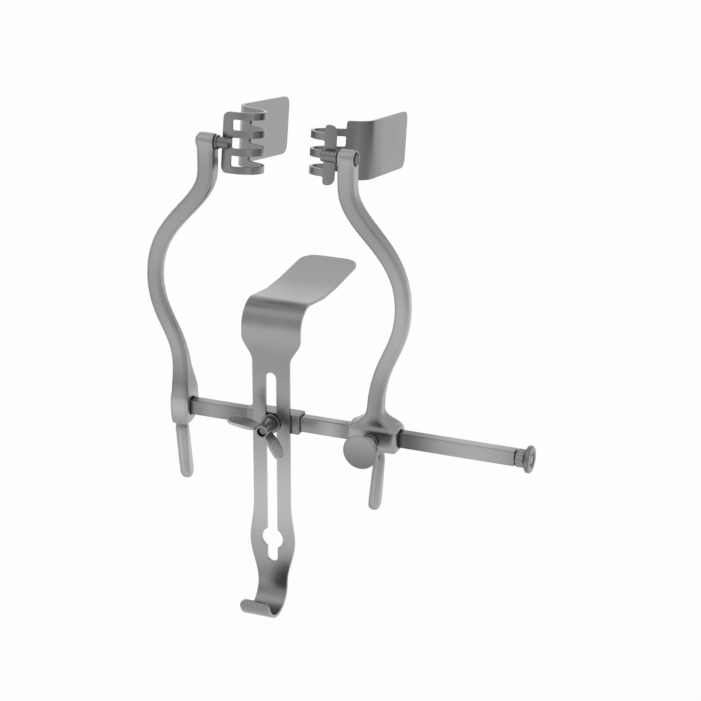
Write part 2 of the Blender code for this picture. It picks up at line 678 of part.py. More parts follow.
class BentStrip:
    """Side view of a bent strip: straight from low to high, with bends beyond each end.

    The straight part runs up from (origin) at station low to station high. Bends are
    (length, turn) pairs, the turn in radians, positive to the left of the walk.
    """

    def __init__(self, origin, heading, low, high, upper, lower):
        self.origin = Vector(origin)
        self.heading = heading
        self.low = low
        self.high = high
        self.upper = upper
        self.lower = lower

    def walk(self, start, heading, bends, distance):
        point = Vector(start)
        for length, turn in bends:
            step = min(distance, length)
            share = turn * step / length
            if abs(turn) < 1e-9:
                point += step * Vector((math.cos(heading), math.sin(heading)))
            else:
                radius = length / turn
                point += radius * Vector((math.sin(heading + share) - math.sin(heading),
                                          math.cos(heading) - math.cos(heading + share)))
            heading += share
            distance -= step
            if distance <= 0:
                break
        return point, heading

    def at(self, station):
        """Point and heading at a distance along the strip."""
        forward = Vector((math.cos(self.heading), math.sin(self.heading)))
        if station > self.high:
            start = self.origin + self.high * forward
            return self.walk(start, self.heading, self.upper, station - self.high)
        if station < self.low:
            start = self.origin + self.low * forward
            point, heading = self.walk(start, self.heading + math.pi, self.lower,
                                       self.low - station)
            return point, heading - math.pi
        return self.origin + station * forward, self.heading

    def cuts(self):
        """Stations where the flat strip is divided so that it can bend."""
        result = []
        for base, sign, bends in ((self.high, 1, self.upper), (self.low, -1, self.lower)):
            place = base
            for length, turn in bends:
                count = max(int(math.degrees(abs(turn)) / 10 + 0.999), 1) if turn else 1
                for index in range(count + 1):
                    result.append(place + sign * length * index / count)
                place += sign * length
        return sorted(set(round(value, 7) for value in result))

    def length_above(self):
        return self.high + sum(length for length, turn in self.upper)

    def length_below(self):
        return self.low - sum(length for length, turn in self.lower)


def flat_pattern(name, outlines, thickness):
    """Flat sheet from closed outlines, the first one the rim and the rest holes."""
    curve = bpy.data.curves.new(name, "CURVE")
    curve.dimensions = "2D"
    curve.fill_mode = "BOTH"
    curve.extrude = thickness / 2
    for outline in outlines:
        spline = curve.splines.new("POLY")
        spline.points.add(len(outline) - 1)
        for point, (x, y) in zip(spline.points, outline):
            point.co = (x, y, 0.0, 1.0)
        spline.use_cyclic_u = True
    item = bpy.data.objects.new(name, curve)
    bpy.context.scene.collection.objects.link(item)
    mesh = evaluated_mesh(item)
    bpy.data.objects.remove(item, do_unlink=True)
    return mesh


def bent_sheet(name, collection, outlines, thickness, strip, place):
    """Cut the flat pattern at the bend stations and wrap it on the side view."""
    flat = flat_pattern(name + "_flat", outlines, thickness)

    def build(work):
        work.from_mesh(flat)
        bmesh.ops.remove_doubles(work, verts=work.verts, dist=0.000002)
        for station in strip.cuts():
            everything = work.verts[:] + work.edges[:] + work.faces[:]
            bmesh.ops.bisect_plane(work, geom=everything, dist=0.0000005,
                                   plane_co=(station, 0, 0), plane_no=(1, 0, 0))
        for vert in work.verts:
            point, heading = strip.at(vert.co.x)
            normal = Vector((-math.sin(heading), math.cos(heading)))
            vert.co = place(point + normal * vert.co.z, vert.co.y)

    return mesh_object(name, build, collection)


def move_origin(item, point):
    """Put the object's origin on a point and leave its surface where it is."""
    item.data.transform(Matrix.Translation(-point))
    item.location = point
    return item


def arc_points(centre, radius, start, end, count):
    points = []
    for index in range(count + 1):
        angle = math.radians(start + (end - start) * index / count)
        points.append((centre[0] + radius * math.cos(angle), centre[1] + radius * math.sin(angle)))
    return points


def make_central_blade(parts):
    blade_bend = math.radians(BLADE_BEND_ANGLE)
    saddle = math.radians(BLADE_SADDLE_ANGLE)
    hook = math.radians(HOOK_BEND_ANGLE)
    upper = [(BLADE_BEND_RADIUS * blade_bend, -blade_bend), (BLADE_SADDLE_RADIUS * saddle, saddle),
             (BLADE_TIP_LENGTH, 0.0)]
    lower = [(HOOK_BEND_RADIUS * hook, -hook)]
    strip = BentStrip((STEM_Y, 0.0), math.pi / 2, -HOOK_BEND_START, BLADE_BEND_START, upper, lower)
    end, tip = strip.length_above(), strip.length_below()
    widths = [(-HOOK_BEND_START, HOOK_HALF_WIDTH),
              (-BULGE_DEPTH, BULGE_HALF_WIDTH), (-BULGE_DEPTH + BULGE_TAPER, STEM_HALF_WIDTH),
              (BLADE_SHOULDER - BLADE_FLARE, STEM_HALF_WIDTH),
              (BLADE_SHOULDER, BLADE_HALF_WIDTH), (end, BLADE_HALF_WIDTH)]
    stations = []
    for first, second in ((-HOOK_BEND_START, -BULGE_DEPTH),
                          (-BULGE_DEPTH, -BULGE_DEPTH + BULGE_TAPER),
                          (BLADE_SHOULDER - BLADE_FLARE, BLADE_SHOULDER)):
        stations += [first + (second - first) * index / 8 for index in range(9)]
    half = [(station, smooth_row(widths, station)) for station in sorted(set(stations))]
    start = arc_points((tip + HOOK_ROUND, HOOK_HALF_WIDTH - HOOK_ROUND), HOOK_ROUND, 180, 90, 6)
    corner = arc_points((end - BLADE_CORNER, BLADE_HALF_WIDTH - BLADE_CORNER), BLADE_CORNER, 90, 0, 8)
    side = start + half + corner
    rim = side + [(x, -y) for x, y in reversed(side) if y > 0.0000001]
    slot = keyhole_outline()
    return bent_sheet("central_blade", parts, [rim, slot], SHEET, strip,
                      lambda point, across: Vector((CARRIAGE_X + across, point.x, point.y)))


def keyhole_outline():
    """Long slot, round keyhole and short lower slot in one outline."""
    top = SLOT_TOP - SLOT_HALF_WIDTH
    meet = math.degrees(math.asin(SLOT_HALF_WIDTH / KEYHOLE_RADIUS))
    outline = arc_points((top, 0.0), SLOT_HALF_WIDTH, -90, 90, 10)
    outline += arc_points((-KEYHOLE_DEPTH, 0.0), KEYHOLE_RADIUS, meet, 180 - meet, 10)
    outline += arc_points((-SLOT_BOTTOM + SLOT_HALF_WIDTH, 0.0), SLOT_HALF_WIDTH, 90, 270, 8)
    outline += arc_points((-KEYHOLE_DEPTH, 0.0), KEYHOLE_RADIUS, 180 + meet, 360 - meet, 10)
    return outline


def rounded_window(start, end, low, high, corner):
    points = []
    for centre, turn in (((end - corner, high - corner), 90), ((end - corner, low + corner), 0),
                         ((start + corner, low + corner), -90),
                         ((start + corner, high - corner), -180)):
        points += arc_points(centre, corner, turn, turn - 90, 3)
    return points


def side_strip(head):
    """Plan view of a side blade as (outward, back) from the inner edge of the spine."""
    turn = math.radians(180 - SIDE_TURN_END)
    bend = math.radians(SIDE_BLADE_HEADING - SIDE_TURN_END)
    upper = [(head.turn_radius * turn, -turn), (SIDE_LINK, 0.0), (SIDE_BEND_RADIUS * bend, bend),
             (SIDE_BLADE_LENGTH, 0.0)]
    lower = [(head.spine, math.radians(SIDE_SPINE_TILT))]
    spine_v = PIVOT_PIN_FLAT + SEAT_GAP + SIDE_SHEET / 2
    return BentStrip((0.0, spine_v), math.pi, 0.0, head.lead, upper, lower)


def make_side_blade(head, parts):
    """Side blade with open bars round its U turn."""
    side = head.arm.side
    strip = side_strip(head)
    opening = head.lead + head.turn_radius * math.radians(180 - SIDE_TURN_END) + SIDE_OPENING_LEG
    end, start = strip.length_above(), strip.length_below()
    half = head.height / 2
    bars = [head.pitch * (index - (head.bars - 1) / 2) for index in range(head.bars)]
    reach = SIDE_BAR_HEIGHT / 2
    flush = half - bars[-1] - reach < 0.0005
    far = arc_points((end - SIDE_CORNER, half - SIDE_CORNER), SIDE_CORNER, 90, 0, 6)
    near = arc_points((start + SIDE_SPINE_CORNER, half - SIDE_SPINE_CORNER), SIDE_SPINE_CORNER,
                      180, 90, 6)
    corner = SIDE_WINDOW_CORNER
    notch = []
    if not flush:
        edge = bars[-1] + reach
        notch = arc_points((-SIDE_NOTCH_CORNER, half - SIDE_NOTCH_CORNER), SIDE_NOTCH_CORNER,
                           90, 0, 4)
        notch += arc_points((corner, edge + corner), corner, 180, 270, 3)
        notch += arc_points((opening - corner, edge + corner), corner, 270, 360, 3)
        notch += arc_points((opening + SIDE_NOTCH_CORNER, half - SIDE_NOTCH_CORNER),
                            SIDE_NOTCH_CORNER, 180, 90, 4)
    upper_side = near + notch + far
    rim = upper_side + [(x, -y) for x, y in reversed(upper_side)]
    windows = []
    for low, high in zip(bars, bars[1:]):
        windows.append(rounded_window(0.0, opening, low + reach, high - reach, corner))
    centre = pivot_centre(head.arm)
    spine = centre - Vector((side * (KNUCKLE_WIDTH / 2 + head.pin_reach), 0, 0))
    tilt = Matrix.Rotation(math.radians(-SIDE_DROOP), 4, "X")

    def place(point, across):
        local = Vector((side * point.x, point.y, across))
        return tilt @ local + spine

    blade = bent_sheet(head.label + "_side_blade", parts, [rim] + windows, SIDE_SHEET, strip, place)
    return move_origin(blade, centre)


def make_pivot(head, parts, guides):
    """Pin through the arm head with its screw and washer; the pin carries the side blade."""
    label, side, pin_reach = head.label, head.arm.side, head.pin_reach
    centre = pivot_centre(head.arm)
    inward = Vector((-side, 0, 0))
    journal = KNUCKLE_WIDTH - PIVOT_RECESS_DEPTH + SEAT_GAP * 2
    outer_end = centre - inward * (KNUCKLE_WIDTH / 2 - PIVOT_RECESS_DEPTH + SEAT_GAP)
    bore = PIVOT_SCREW_RADIUS + SEAT_GAP
    head_radius = PIVOT_RECESS_RADIUS - SEAT_GAP
    total = journal + pin_reach - SEAT_GAP
    shoulder = journal + PIVOT_SHOULDER_LENGTH
    profile = [(0.0, total), (PIVOT_PIN_RADIUS - PIVOT_EDGE, total),
               (PIVOT_PIN_RADIUS, total - PIVOT_EDGE),
               (PIVOT_PIN_RADIUS, shoulder), (PIVOT_SHOULDER_RADIUS, shoulder),
               (PIVOT_SHOULDER_RADIUS, journal), (PIVOT_JOURNAL_RADIUS, journal),
               (PIVOT_JOURNAL_RADIUS, 0.0), (bore, 0.0), (bore, PIVOT_SCREW_DEPTH),
               (0.0, PIVOT_SCREW_DEPTH)]
    pin = turned(label + "_pivot_pin", parts, profile, outer_end, inward)
    tilt = Matrix.Rotation(math.radians(-SIDE_DROOP), 4, "X")
    flat_start = KNUCKLE_WIDTH / 2 + PIVOT_SHOULDER_LENGTH + SEAT_GAP * 2
    flat = box(label + "_pin_flat", guides, (flat_start, PIVOT_PIN_FLAT, -PIVOT_PIN_RADIUS * 2),
               (flat_start + pin_reach * 2, PIVOT_PIN_RADIUS * 2, PIVOT_PIN_RADIUS * 2))
    flat_middle = flat.location.copy()
    flat_middle.x *= -side
    flat.matrix_world = Matrix.Translation(centre) @ tilt @ Matrix.Translation(flat_middle)
    boolean(pin, flat, "DIFFERENCE")
    washer_start = outer_end - inward * SEAT_GAP
    washer = ring(label + "_pivot_washer", parts, bore, head_radius, PIVOT_WASHER_THICKNESS,
                  washer_start, -inward)
    head_start = washer_start - inward * (PIVOT_WASHER_THICKNESS + SEAT_GAP)
    shank = PIVOT_WASHER_THICKNESS + SEAT_GAP * 2 + PIVOT_SCREW_DEPTH - SEAT_GAP
    profile = [(0.0, PIVOT_HEAD_LENGTH), (head_radius - PIVOT_EDGE, PIVOT_HEAD_LENGTH),
               (head_radius, PIVOT_HEAD_LENGTH - PIVOT_EDGE), (head_radius, 0.0),
               (PIVOT_SCREW_RADIUS, 0.0), (PIVOT_SCREW_RADIUS, -shank), (0.0, -shank)]
    screw = turned(label + "_pivot_screw", parts, profile, head_start, -inward)
    slot_x = PIVOT_HEAD_LENGTH - PIVOT_SLOT_DEPTH
    reach = head_radius * 2
    slot = box(label + "_screw_slot", guides, (slot_x, -PIVOT_SLOT_WIDTH / 2, -reach),
               (PIVOT_HEAD_LENGTH * 2, PIVOT_SLOT_WIDTH / 2, reach))
    offset = slot.location.copy()
    offset.x *= side
    slot.location = head_start + offset
    boolean(screw, slot, "DIFFERENCE")
    return [pin, washer, screw]


def finish_piece(item, material):
    """Evaluate the piece, clean its mesh, shade its round faces and give it its material."""
    freeze(item)
    work = bmesh.new()
    work.from_mesh(item.data)
    bmesh.ops.remove_doubles(work, verts=work.verts, dist=0.0000005)
    bmesh.ops.dissolve_limit(work, angle_limit=math.radians(0.3), verts=work.verts,
                             edges=work.edges)
    bmesh.ops.triangulate(work, faces=[face for face in work.faces if len(face.verts) > 4])
    work.to_mesh(item.data)
    work.free()
    item.data.shade_smooth()
    item.data.set_sharp_from_angle(angle=math.radians(35))
    item.data.materials.clear()
    item.data.materials.append(material)


def main():
    clear_scene()
    parts = new_collection("bladder_retractor")
    guides = new_collection("cutters")
    pieces = [make_cross_bar(parts, guides), *make_end_stop(parts),
              make_left_arm(parts, guides), make_right_arm(parts, guides),
              *make_thumb_screw(parts), *make_carriage(parts, guides),
              make_wing_nut(parts, guides), make_central_blade(parts)]
    for head in (LEFT_HEAD, RIGHT_HEAD):
        pieces.append(make_side_blade(head, parts))
        pieces += make_pivot(head, parts, guides)
    for cutter in guides.objects:
        hide_cutter(cutter)
    for piece in pieces:
        finish_piece(piece, steel(piece.name + "_steel"))


main()
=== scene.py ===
import json
import math

import bpy
from mathutils import Matrix, Vector

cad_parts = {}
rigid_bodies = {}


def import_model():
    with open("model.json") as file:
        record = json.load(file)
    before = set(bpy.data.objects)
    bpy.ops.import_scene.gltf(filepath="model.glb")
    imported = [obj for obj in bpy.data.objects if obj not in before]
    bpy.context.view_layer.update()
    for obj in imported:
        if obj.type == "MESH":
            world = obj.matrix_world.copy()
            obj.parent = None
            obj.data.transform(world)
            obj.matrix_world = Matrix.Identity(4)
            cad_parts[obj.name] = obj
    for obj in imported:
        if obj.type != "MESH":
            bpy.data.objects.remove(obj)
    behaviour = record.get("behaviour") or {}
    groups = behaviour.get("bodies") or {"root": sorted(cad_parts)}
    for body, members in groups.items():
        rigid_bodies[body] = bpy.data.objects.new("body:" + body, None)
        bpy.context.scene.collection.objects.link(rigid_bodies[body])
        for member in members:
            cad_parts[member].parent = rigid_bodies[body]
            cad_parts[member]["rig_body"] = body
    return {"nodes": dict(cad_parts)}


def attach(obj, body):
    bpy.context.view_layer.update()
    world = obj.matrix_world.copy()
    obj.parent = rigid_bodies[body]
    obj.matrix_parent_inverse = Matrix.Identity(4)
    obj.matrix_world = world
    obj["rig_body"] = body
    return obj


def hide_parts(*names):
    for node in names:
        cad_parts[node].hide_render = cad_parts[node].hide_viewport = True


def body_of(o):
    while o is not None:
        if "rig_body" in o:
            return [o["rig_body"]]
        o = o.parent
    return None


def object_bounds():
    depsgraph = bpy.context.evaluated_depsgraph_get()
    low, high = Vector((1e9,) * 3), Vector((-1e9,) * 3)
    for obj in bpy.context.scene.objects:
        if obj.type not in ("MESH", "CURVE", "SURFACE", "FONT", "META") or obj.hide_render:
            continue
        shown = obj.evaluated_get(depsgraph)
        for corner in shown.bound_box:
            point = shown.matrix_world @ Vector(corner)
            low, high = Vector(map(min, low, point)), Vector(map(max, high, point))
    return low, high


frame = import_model()
cad_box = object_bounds()

# Camera of the photograph
CAMERA_POSITION = (0.47105, -0.9582, 0.4510)
CAMERA_AZIMUTH = 21.254
CAMERA_ELEVATION = 21.605
CAMERA_ROLL = 0.272
CAMERA_LENS = 113.07
SENSOR = 36.0

# Floor: white paper that keeps a faint shadow of the object, low enough for the lowered blade
FLOOR_HALF = 3.0
FLOOR_DROP = 0.032
FLOOR_PAPER = 0.96
FLOOR_ROUGHNESS = 0.9
FLOOR_GLOW = 0.90

# Studio: reflections meet the white background, diffuse rays a dimmer tent. In front of both
# stand soft panels: name, azimuth from the front towards the right, elevation, sharpness,
# strength. PANEL_SHARE dims them all.
WHITE = (1.0, 1.0, 1.0, 1.0)
TENT = 0.60
PANEL_SHARE = 0.80
PANELS = (
    ("floor_front", -24.0, -32.0, 12.0, 0.64),
    ("floor_front_right", 35.0, -42.0, 10.0, 0.85),
    ("floor_right", 95.0, -45.0, 8.0, 0.70),
    ("floor_back", 148.0, -32.0, 12.0, 0.55),
    ("floor_left", -100.0, -45.0, 8.0, 0.40),
    ("floor_below", 0.0, -90.0, 8.0, 0.30),
    ("front_low", -24.0, -14.0, 30.0, 0.50),
    ("front_level", -40.0, 0.0, 25.0, 0.50),
    ("right_strip", 62.0, 0.0, 40.0, 0.60),
    ("front_high", -44.0, 54.0, 22.0, 0.75),
    ("back_level", 146.0, -12.0, 25.0, 0.80),
    ("back_low", -160.0, 10.0, 25.0, 0.75),
    ("back_high", -158.0, 32.0, 20.0, 0.55),
    ("left_level", -84.0, 2.0, 16.0, 0.50),
    ("left_back", -125.0, -12.0, 25.0, 0.52),
    ("left_high", -80.0, 40.0, 14.0, 0.58),
    ("right_high", 70.0, 45.0, 12.0, 0.80),
    ("right_back", 130.0, 30.0, 20.0, 0.67),
    ("top", 0.0, 90.0, 12.0, 0.60),
)

# Edges: faces closer than JOIN_REACH are one, edges shorter than SHORT_EDGE go, and the sharp
# edges get a small round. The pieces in FINE_EDGES have no room for the usual width.
JOIN_REACH = 0.000001
FLAT_ANGLE = 0.4
SHORT_EDGE = 0.00009
SHARP_ANGLE = 32.0
EDGE_WIDTH = 0.00022
EDGE_STEPS = 2
FINE_EDGES = {"right_side_blade": 0.00004, "clamp_pad": 0.00008, "thumb_screw": 0.00008}

# Forged arms: they replace the arms of the frame, with melted edges and a fuller finger tail.
# Edges melt fully below FORGE_SOFT_TOP and least above FORGE_CRISP_FROM.
FORGED = ("left_arm", "right_arm")
FORGE_VOXEL = 0.0004
FORGE_PASSES = 26
FORGE_SOFT_TOP = 0.010
FORGE_CRISP_FROM = 0.026
FORGE_CRISP = 0.25
# The foot is drawn in from PINCH_FROM down, and the tail swells from TAIL_TOP to TAIL_END
PINCH_FROM = -0.0035
TAIL_TOP = -0.0098
TAIL_FULL = -0.0120
TAIL_END = -0.0340
FOOT_PINCH = {"left_arm": -0.0010, "right_arm": -0.0006}
TAIL_SWELL = {"left_arm": 0.0011, "right_arm": 0.0004}
TAIL_END_SWELL = 0.0004

# Wing nut: it replaces the nut of the frame. Distances from its axis in NUT_RADII become those
# in NUT_SLIM_RADII, which draws in the hub and leaves the wings.
NUT_AXIS_X = 0.0574
NUT_RADII = (0.0, 0.0029, 0.0053, 0.0095)
NUT_SLIM_RADII = (0.0, 0.0027, 0.0040, 0.0095)

# Steel: broad clouds, fine grain and worn edges change the tone and the roughness a little
CLOUD_SCALE = 60.0
CLOUD_DETAIL = 4.0
CLOUD_TONES = (0.94, 1.05)
CLOUD_GLOSS = (-0.03, 0.04)
CLOUD_WEAR = (0.35, 1.0)
GRAIN_DETAIL = 3.0
GRAIN_TONE = 0.035
GRAIN_GLOSS = 0.03
GRAIN_DEPTH = 0.00002
WEAR_REACH = 0.0004
WEAR_SAMPLES = 4
WEAR_FULL = 0.80
WEAR_NONE = 0.98
WEAR_TONE = 0.12
WEAR_GLOSS = -0.06

# Finish of each node: grey, roughness, grain across X, Y and Z in waves per metre, grain strength.
# The greys are partly painted light: pieces of the same steel get lighter and darker greys for the
# light and shade on each, such as the darker right side blade and right pivot screw.
DRAWN_X = (60.0, 2600.0, 2600.0)
DRAWN_Z = (2600.0, 2600.0, 60.0)
BLASTED = (2300.0, 2300.0, 2300.0)
TURNED = (1500.0, 3200.0, 1500.0)
FINISHES_WITH_PAINTED_LIGHT = {
    "cross_bar": (0.195, 0.30, DRAWN_X, 0.25),
    "end_stop_collar": (0.187, 0.30, BLASTED, 0.20),
    "end_stop_cap": (0.149, 0.30, BLASTED, 0.20),
    "left_arm": (0.198, 0.32, BLASTED, 0.35),
    "right_arm": (0.196, 0.32, BLASTED, 0.35),
    "clamp_pad": (0.173, 0.32, TURNED, 0.20),
    "thumb_knob": (0.194, 0.32, TURNED, 0.25),
    "thumb_screw": (0.168, 0.32, TURNED, 0.20),
    "blade_carriage": (0.162, 0.30, DRAWN_X, 0.25),
    "carriage_stud": (0.109, 0.30, TURNED, 0.20),
    "clamp_washer": (0.142, 0.32, TURNED, 0.20),
    "wing_nut": (0.235, 0.30, BLASTED, 0.25),
    "central_blade": (0.184, 0.30, DRAWN_Z, 0.25),
    "left_side_blade": (0.168, 0.30, DRAWN_Z, 0.25),
    "left_pivot_pin": (0.121, 0.26, DRAWN_X, 0.20),
    "left_pivot_washer": (0.163, 0.32, TURNED, 0.20),
    "left_pivot_screw": (0.105, 0.32, TURNED, 0.20),
    "right_side_blade": (0.140, 0.30, DRAWN_Z, 0.25),
    "right_pivot_pin": (0.140, 0.26, DRAWN_X, 0.20),
    "right_pivot_washer": (0.163, 0.32, TURNED, 0.20),
    "right_pivot_screw": (0.084, 0.32, TURNED, 0.20),
}

# Painted light: soft patches that raise the tone as painted reflections and highlights and lower
# it as painted shade, given as centre, reach, change of tone. They are mostly not the steel's own
# polish.
WIDE = 1.0
PAINTED_LIGHT_PATCHES = {
    # painted reflections and shade along the length of the bar
    "cross_bar": (((0.013, 0.0, 0.0), (0.006, WIDE, WIDE), -0.25),
                  ((0.022, 0.0, 0.0), (0.006, WIDE, WIDE), 0.10),
                  ((0.041, 0.0, 0.0), (0.011, WIDE, WIDE), -0.42),
                  ((0.088, 0.0, 0.0), (0.006, WIDE, WIDE), 0.30),
                  ((0.097, 0.0, 0.0), (0.005, WIDE, WIDE), -0.25),
                  ((0.130, 0.0, 0.0), (0.012, WIDE, WIDE), -0.62),
                  ((0.166, 0.0, 0.0), (0.019, WIDE, WIDE), 0.34),
                  ((0.191, 0.0, 0.0), (0.006, WIDE, WIDE), -0.30)),
    "left_arm": (((0.0, 0.0, 0.001), (WIDE, WIDE, 0.0065), 0.46),
                 ((0.0, 0.0, 0.014), (WIDE, WIDE, 0.0065), -0.22),
                 # painted shade in the narrow waist between the foot and the tail
                 ((0.0, 0.0, -0.0112), (WIDE, WIDE, 0.0016), -0.34),
                 ((0.0, 0.0, -0.0190), (WIDE, WIDE, 0.0090), 0.26),
                 ((0.0, 0.0, -0.035), (WIDE, WIDE, 0.019), 0.42),
                 ((0.0, 0.0, 0.035), (WIDE, WIDE, 0.015), 0.18),
                 ((0.0, 0.0, 0.092), (WIDE, WIDE, 0.020), 0.16),
                 ((0.0, 0.0, 0.148), (WIDE, WIDE, 0.010), 0.30)),
    "right_arm": (((0.0, 0.0, 0.0), (WIDE, WIDE, 0.009), 0.28),
                  ((0.0, 0.0, -0.025), (WIDE, WIDE, 0.008), 0.14),
                  ((0.0, 0.0, 0.148), (WIDE, WIDE, 0.008), 0.14),
                  ((0.0, 0.0, 0.063), (WIDE, WIDE, 0.032), 0.42),
                  ((0.0, 0.0, 0.137), (WIDE, WIDE, 0.016), 0.20),
                  ((0.0, 0.0, -0.038), (WIDE, WIDE, 0.014), 0.22)),
    "central_blade": (((0.0, 0.0, -0.042), (WIDE, WIDE, 0.030), 0.68),
                      ((0.0, 0.0, -0.087), (WIDE, WIDE, 0.006), -0.22),
                      ((0.0, 0.0, 0.066), (WIDE, WIDE, 0.006), -0.16),
                      ((0.0, 0.0, 0.048), (WIDE, WIDE, 0.007), 0.22),
                      ((0.0, 0.0, 0.019), (WIDE, WIDE, 0.008), 0.16),
                      # painted shadow and reflection of the wing nut on the blade, to its right
                      ((0.066, 0.0, 0.002), (0.006, WIDE, 0.009), -0.45)),
    # painted shade on the lower part of the knob and a painted highlight on its upper part
    "thumb_knob": (((0.0, 0.0, -0.0095), (WIDE, WIDE, 0.0085), -0.38),
                   ((0.0, 0.0, 0.0085), (WIDE, WIDE, 0.0050), 0.14)),
    "right_side_blade": (((0.0800, 0.0, 0.144), (0.012, 0.010, WIDE), 0.32),
                         # painted shade along the bend of the blade
                         ((0.0937, 0.0385, 0.0), (WIDE, 0.0035, WIDE), -0.36),
                         ((0.0940, 0.042, 0.0), (WIDE, 0.010, WIDE), -0.34)),
    "wing_nut": (((0.0430, -0.022, 0.0), (0.012, WIDE, WIDE), 0.40),
                 ((0.0725, -0.022, 0.0), (0.007, WIDE, WIDE), 0.24),
                 # painted shade across the middle of the hub
                 ((0.0574, -0.019, 0.0), (0.005, 0.003, 0.005), -0.30)),
    # painted shade in the recess of the cap's end face
    "end_stop_cap": (((0.1951, 0.0, 0.0), (0.0030, 0.0040, 0.0040), -0.45),),
}


def make_camera():
    """Camera at the angle, the distance and the lens of the photograph."""
    azimuth = math.radians(CAMERA_AZIMUTH)
    elevation = math.radians(CAMERA_ELEVATION)
    roll = math.radians(CAMERA_ROLL)
    forward = Vector((-math.sin(azimuth) * math.cos(elevation),
                      math.cos(azimuth) * math.cos(elevation), -math.sin(elevation)))
    right = Vector((math.cos(azimuth), math.sin(azimuth), 0.0))
    up = right.cross(forward)
    right_rolled = right * math.cos(roll) + up * math.sin(roll)
    up_rolled = -right * math.sin(roll) + up * math.cos(roll)
    data = bpy.data.cameras.new("photo_camera")
    data.sensor_width = SENSOR
    data.lens = CAMERA_LENS
    camera = bpy.data.objects.new("photo_camera", data)
    turn = Matrix((right_rolled, up_rolled, -forward)).transposed()
    camera.matrix_world = Matrix.Translation(CAMERA_POSITION) @ turn.to_4x4()
    bpy.context.scene.collection.objects.link(camera)
    bpy.context.scene.camera = camera


def add_node(tree, kind, **sockets):
    """Add a node and set its inputs: a value is written, a socket is linked."""
    node = tree.nodes.new(kind)
    for name, value in sockets.items():
        target = node.inputs[int(name[1:])] if name[0] == "i" and name[1:].isdigit() \
            else node.inputs[name.replace("_", " ")]
        if isinstance(value, bpy.types.NodeSocket):
            tree.links.new(value, target)
        else:
            target.default_value = value
    return node


def math_node(tree, operation, *values):
    """Result of an operation on numbers or sockets."""
    node = tree.nodes.new("ShaderNodeMath")
    node.operation = operation
    for target, value in zip(node.inputs, values):
        if isinstance(value, bpy.types.NodeSocket):
            tree.links.new(value, target)
        else:
            target.default_value = value
    return node.outputs[0]


def dot_product(tree, first, second):
    """Dot product of a socket with another, or with a fixed vector."""
    node = tree.nodes.new("ShaderNodeVectorMath")
    node.operation = "DOT_PRODUCT"
    tree.links.new(first, node.inputs[0])
    if isinstance(second, bpy.types.NodeSocket):
        tree.links.new(second, node.inputs[1])
    else:
        node.inputs[1].default_value = second
    return node.outputs["Value"]


def make_world():
    """White for the camera, and for reflections, where soft panels stand before the white."""
    world = bpy.data.worlds.new("studio")
    world.use_nodes = True
    bpy.context.scene.world = world
    tree = world.node_tree
    tree.nodes.clear()
    direction = tree.nodes.new("ShaderNodeTexCoord").outputs["Generated"]
    path = tree.nodes.new("ShaderNodeLightPath")
    mirror = math_node(tree, "ADD", path.outputs["Is Glossy Ray"],
                       path.outputs["Is Transmission Ray"])
    total = math_node(tree, "MULTIPLY_ADD", mirror, 1.0 - TENT, TENT)
    for name, azimuth, elevation, sharpness, strength in PANELS:
        a, e = math.radians(azimuth), math.radians(elevation)
        aim = (math.sin(a) * math.cos(e), -math.cos(a) * math.cos(e), math.sin(e))
        near = dot_product(tree, direction, aim)
        near.node.label = name
        fall = math_node(tree, "MULTIPLY_ADD", near, sharpness, -sharpness)
        glow = math_node(tree, "EXPONENT", fall)
        total = math_node(tree, "MULTIPLY_ADD", glow, strength * PANEL_SHARE, total)
    light = add_node(tree, "ShaderNodeBackground", Color=WHITE, Strength=total)
    white = add_node(tree, "ShaderNodeBackground", Color=WHITE, Strength=1.0)
    mix = add_node(tree, "ShaderNodeMixShader", Fac=path.outputs["Is Camera Ray"],
                   i1=light.outputs[0], i2=white.outputs[0])
    out = tree.nodes.new("ShaderNodeOutputWorld")
    tree.links.new(mix.outputs[0], out.inputs["Surface"])


def make_floor():
    """White floor. Reflections skip it, and meet the white and the panels below the horizon."""
    z = cad_box[0][2] - FLOOR_DROP
    mesh = bpy.data.meshes.new("floor")
    corners = [(-FLOOR_HALF, -FLOOR_HALF, z), (FLOOR_HALF, -FLOOR_HALF, z),
               (FLOOR_HALF, FLOOR_HALF, z), (-FLOOR_HALF, FLOOR_HALF, z)]
    mesh.from_pydata(corners, [], [(0, 1, 2, 3)])
    floor = bpy.data.objects.new("floor", mesh)
    bpy.context.scene.collection.objects.link(floor)
    floor.visible_glossy = False
    floor.visible_shadow = False
    material = bpy.data.materials.new("floor_white")
    material.use_nodes = True
    tree = material.node_tree
    shader = tree.nodes["Principled BSDF"]
    shader.inputs["Base Color"].default_value = (FLOOR_PAPER, FLOOR_PAPER, FLOOR_PAPER, 1.0)
    shader.inputs["Roughness"].default_value = FLOOR_ROUGHNESS
    glow = add_node(tree, "ShaderNodeEmission", Color=WHITE, Strength=1.0)
    path = tree.nodes.new("ShaderNodeLightPath")
    share = math_node(tree, "MULTIPLY", path.outputs["Is Camera Ray"], FLOOR_GLOW)
    mix = add_node(tree, "ShaderNodeMixShader", Fac=share, i1=shader.outputs[0],
                   i2=glow.outputs[0])
    tree.links.new(mix.outputs[0], tree.nodes["Material Output"].inputs["Surface"])
    mesh.materials.append(material)


def geometry_group(name):
    """An empty geometry node group, with its input and output nodes."""
    group = bpy.data.node_groups.new(name, "GeometryNodeTree")
    group.interface.new_socket("Geometry", in_out="INPUT", socket_type="NodeSocketGeometry")
    group.interface.new_socket("Geometry", in_out="OUTPUT", socket_type="NodeSocketGeometry")
    return group, group.nodes.new("NodeGroupInput"), group.nodes.new("NodeGroupOutput")


